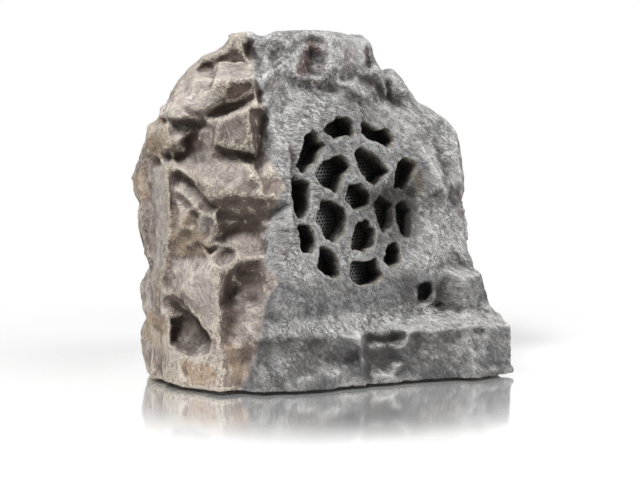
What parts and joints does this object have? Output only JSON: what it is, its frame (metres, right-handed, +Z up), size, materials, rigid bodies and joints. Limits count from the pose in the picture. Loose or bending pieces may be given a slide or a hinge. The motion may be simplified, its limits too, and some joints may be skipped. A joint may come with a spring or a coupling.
{
  "type": "rock-shaped outdoor wireless speaker",
  "caption": "Garden rock speaker: a moulded stone-look shell with irregular sound openings over a round driver, a screwed base with feet, and a rear panel with push buttons and covered sockets.",
  "frame": {"origin": "middle of the overall box, at the level the rubber feet stand on", "axes": "+Z up; the sound openings face -Y; the brown flank is on the -X side"},
  "size_m": [0.264, 0.224, 0.29],
  "materials": {
    "faux_stone": "moulded stone texture, grey with brown and ochre washes",
    "base_plastic": "fine moulded grain",
    "foam_gasket": "closed-cell foam",
    "zinc_screw": "zinc plated",
    "black_rubber": "matte",
    "grille_steel": "black powder coat, perforated",
    "basket_steel": "black paint on pressed steel",
    "surround_rubber": "satin",
    "cone_paper": "coated pulp",
    "dust_cap": "gloss",
    "former_paper": "kraft",
    "copper": "enamelled copper wire",
    "spider_cloth": "resin-stiffened cloth",
    "zinc_steel": "zinc plated",
    "ferrite": "ground ferrite",
    "phenolic": "phenolic board",
    "red_wire": "insulation",
    "grey_wire": "insulation",
    "circuit_board": "green solder mask",
    "heatsink_aluminium": "extruded",
    "capacitor_sleeve": "shrink sleeve",
    "chip_black": "epoxy",
    "shield_can": "tinned",
    "ivory_plastic": "natural nylon",
    "cell_wrap": "shrink wrap",
    "panel_plastic": "fine moulded grain",
    "switch_black": "moulded",
    "led_clear": "clear epoxy",
    "clear_acrylic": "clear",
    "jack_plastic": "moulded",
    "button_rubber": "satin",
    "power_rubber": "satin",
    "plunger_white": "moulded",
    "pin_steel": "ground"
  },
  "bodies": {
    "housing": {"rock_shell": "faux_stone", "base_plate": "base_plastic", "base_gasket": "foam_gasket", "base_screws": "zinc_screw", "rubber_feet": "black_rubber", "grille_mesh": "grille_steel", "driver_gasket": "foam_gasket", "driver_basket": "basket_steel", "driver_screws": "zinc_screw", "cone_surround": "surround_rubber", "spider": "spider_cloth", "top_plate": "zinc_steel", "ferrite_magnet": "ferrite", "back_plate": "zinc_steel", "terminal_strip": "phenolic", "driver_lead": "red_wire", "amp_board": "circuit_board", "amp_board_screws": "zinc_screw", "amp_heatsink": "heatsink_aluminium", "amp_capacitors": "capacitor_sleeve", "amp_chips": "chip_black", "bluetooth_module": "shield_can", "lead_connectors": "ivory_plastic", "battery_holder": "base_plastic", "battery_screws": "zinc_screw", "battery_cell_1": "cell_wrap", "battery_cell_2": "cell_wrap", "battery_cell_3": "cell_wrap", "battery_cell_4": "cell_wrap", "battery_lead": "red_wire", "control_panel": "panel_plastic", "panel_gasket": "foam_gasket", "panel_screws": "zinc_screw", "control_board": "circuit_board", "control_board_screws": "zinc_screw", "tact_switches": "switch_black", "status_led": "led_clear", "light_pipe": "clear_acrylic", "dc_jack": "jack_plastic", "aux_jack": "jack_plastic", "control_lead": "grey_wire", "hinge_pin": "pin_steel"},
    "driver_moving": {"driver_cone": "cone_paper", "dust_cap": "dust_cap", "voice_coil_former": "former_paper", "voice_coil": "copper"},
    "power_key": {"power_button": "power_rubber", "power_plunger": "plunger_white"},
    "pair_key": {"pair_button": "button_rubber", "pair_plunger": "plunger_white"},
    "volume_down_key": {"volume_down_button": "button_rubber", "volume_down_plunger": "plunger_white"},
    "volume_up_key": {"volume_up_button": "button_rubber", "volume_up_plunger": "plunger_white"},
    "cover": {"port_cover": "black_rubber", "port_cover_seal": "black_rubber"}
  },
  "joints": [
    {"name": "cone_travel", "type": "slide", "parent": "housing", "child": "driver_moving", "axis": [0, -0.9877, 0.1564], "range_m": [-0.004, 0.004], "stiffness_N_per_m": 1200, "deforming": ["cone_surround", "spider"]},
    {"name": "power_press", "type": "slide", "parent": "housing", "child": "power_key", "axis": [0, -0.9903, -0.1392], "range_m": [0, 0.0012], "stiffness_N_per_m": 400},
    {"name": "pair_press", "type": "slide", "parent": "housing", "child": "pair_key", "axis": [0, -0.9903, -0.1392], "range_m": [0, 0.0012], "stiffness_N_per_m": 400},
    {"name": "volume_down_press", "type": "slide", "parent": "housing", "child": "volume_down_key", "axis": [0, -0.9903, -0.1392], "range_m": [0, 0.0012], "stiffness_N_per_m": 400},
    {"name": "volume_up_press", "type": "slide", "parent": "housing", "child": "volume_up_key", "axis": [0, -0.9903, -0.1392], "range_m": [0, 0.0012], "stiffness_N_per_m": 400},
    {"name": "port_cover_hinge", "type": "hinge", "parent": "housing", "child": "cover", "pos_m": [-0.016, 0.09376, 0.12068], "axis": [1, 0, 0], "range_deg": [0, 110]}
  ]
}
